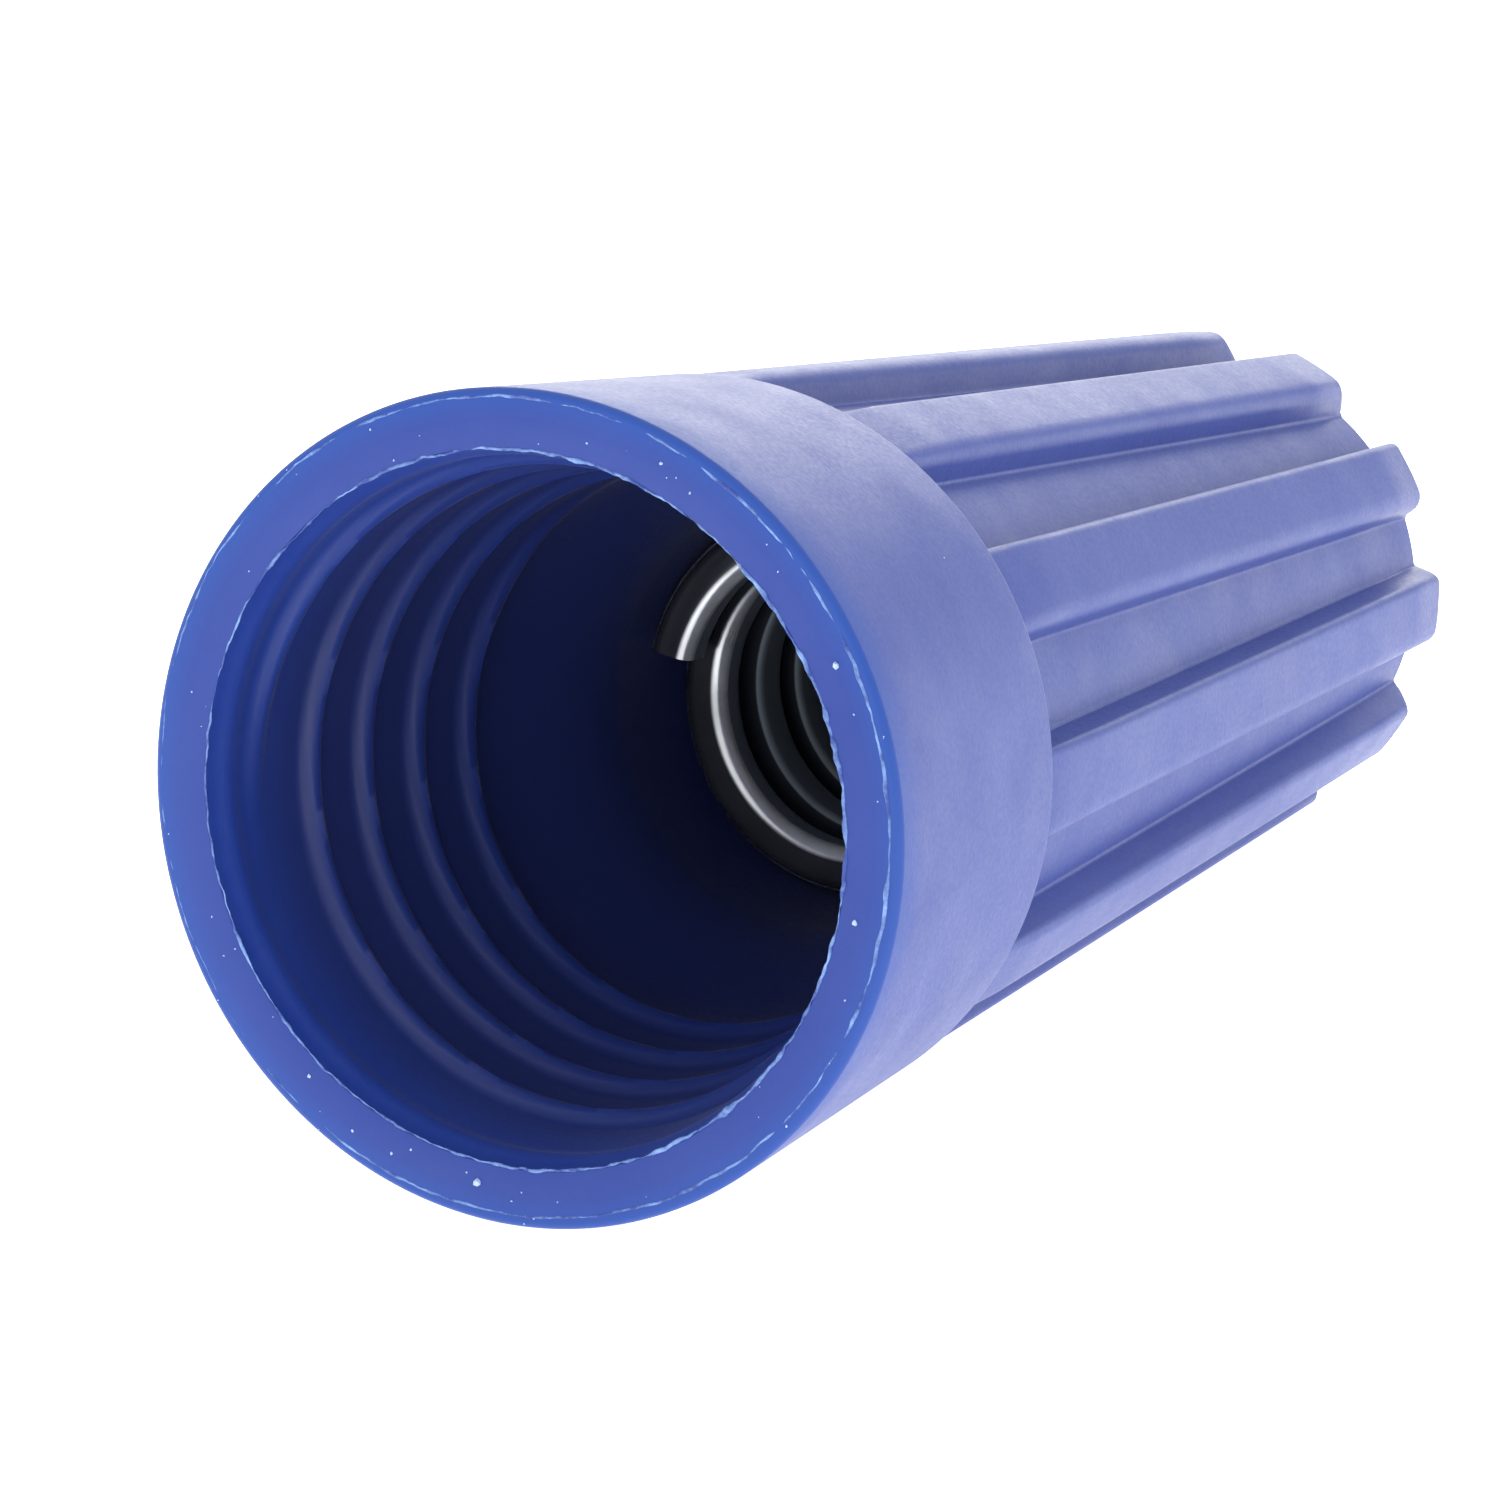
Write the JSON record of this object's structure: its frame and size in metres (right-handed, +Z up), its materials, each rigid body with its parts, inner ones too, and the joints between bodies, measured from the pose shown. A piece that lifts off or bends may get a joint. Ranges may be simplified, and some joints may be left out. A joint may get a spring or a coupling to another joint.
{
  "type": "twist-on wire connector",
  "caption": "Tapered blue plastic twist-on wire connector lying on its side, with a plain round collar, finger ribs, a threaded mouth and a conical square-wire spring inside.",
  "frame": {"origin": "on the ground under the centre of the part's bounding box, with the part lying on its rim and on the tips of two ribs", "axes": "+Z is up; the connector's axis lies in the YZ plane, its open mouth towards -Y and its closed end towards +Y, dipping 4.72 degrees towards the closed end because the body tapers"},
  "size_m": [0.011, 0.0226, 0.011],
  "materials": {
    "blue_plastic": "fine satin moulding in solid blue",
    "spring_steel": "bright zinc-plated drawn wire"
  },
  "bodies": {
    "root": {"shell": "blue_plastic", "spring": "spring_steel"}
  },
  "joints": []
}
